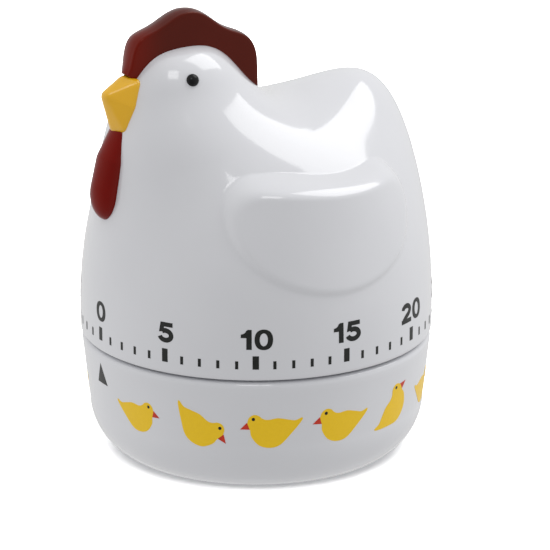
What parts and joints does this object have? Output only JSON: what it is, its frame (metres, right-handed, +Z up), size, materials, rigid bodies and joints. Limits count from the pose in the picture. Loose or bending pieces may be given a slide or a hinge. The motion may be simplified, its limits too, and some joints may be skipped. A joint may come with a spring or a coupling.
{
  "type": "kitchen timer",
  "caption": "Wind-up kitchen timer shaped as a white hen; the hen turns on a round base as its dial, and drives a spring movement, escapement and bell.",
  "frame": {"origin": "middle of the base's flat underside, on the axis the hen turns about", "axes": "+Z up, the hen faces -Y at rest with the pointer and the zero mark in front, +X is the hen's left side"},
  "size_m": [0.072, 0.0736, 0.0935],
  "materials": {
    "base_abs": "glossy white ABS",
    "bell_steel": "bright plated",
    "zinc_steel": "zinc plated",
    "brass": "stamped brass",
    "spring_steel": "blued spring strip",
    "hen_abs": "glossy white ABS",
    "comb_red": "glossy dark red plastic",
    "beak_yellow": "glossy yellow plastic",
    "wattle_red": "glossy dark red plastic",
    "eye_black": "glossy black bead",
    "carrier_plastic": "plain moulded",
    "steel": "turned steel"
  },
  "bodies": {
    "base": {"base_shell": "base_abs", "bell": "bell_steel", "bell_screw": "zinc_steel", "lower_plate": "brass", "upper_plate": "brass", "plate_pillars": "brass", "pillar_screws": "zinc_steel", "base_screws": "zinc_steel", "mainspring": "spring_steel", "spring_post": "brass", "stop_pin": "zinc_steel"},
    "dial": {"hen_shell": "hen_abs", "comb": "comb_red", "beak": "beak_yellow", "wattle": "wattle_red", "eyes": "eye_black", "dial_carrier": "carrier_plastic", "carrier_screw": "zinc_steel", "main_arbor": "steel", "main_wheel": "brass", "ratchet_wheel": "steel", "click": "steel", "click_rivet": "brass", "click_spring": "spring_steel", "notch_cam": "brass"},
    "second": {"second_arbor": "steel", "second_wheel": "brass"},
    "third": {"third_arbor": "steel", "third_wheel": "brass"},
    "escape": {"escape_arbor": "steel", "escape_wheel": "brass"},
    "balance": {"pallet_arbor": "steel", "pallet_fork": "steel", "balance_bar": "brass"},
    "striker": {"hammer_arbor": "steel", "hammer": "steel", "hammer_lever": "steel"}
  },
  "joints": [
    {"name": "dial_turn", "type": "hinge", "parent": "base", "child": "dial", "pos_m": [0, 0, 0.0247], "axis": [0, 0, -1], "range_deg": [0, 350]},
    {"name": "second_spin", "type": "hinge", "parent": "base", "child": "second", "pos_m": [0, 0.0175, 0.025], "axis": [0, 0, -1], "continuous": true},
    {"name": "third_spin", "type": "hinge", "parent": "base", "child": "third", "pos_m": [0.01275, 0.01409, 0.028], "axis": [0, 0, -1], "continuous": true},
    {"name": "escape_spin", "type": "hinge", "parent": "base", "child": "escape", "pos_m": [0.01828, 0.00516, 0.031], "axis": [0, 0, -1], "continuous": true},
    {"name": "balance_swing", "type": "hinge", "parent": "base", "child": "balance", "pos_m": [0.01857, -0.00403, 0.031], "axis": [0, 0, 1], "range_deg": [-4, 4]},
    {"name": "hammer_swing", "type": "hinge", "parent": "base", "child": "striker", "pos_m": [-0.012, -0.02079, 0.013], "axis": [0, 0, 1], "range_deg": [-6, 3]}
  ],
  "couplings": [
    {"joint": "second_spin", "follows": "dial_turn", "ratio": -6},
    {"joint": "third_spin", "follows": "dial_turn", "ratio": 33.6},
    {"joint": "escape_spin", "follows": "dial_turn", "ratio": -168}
  ]
}
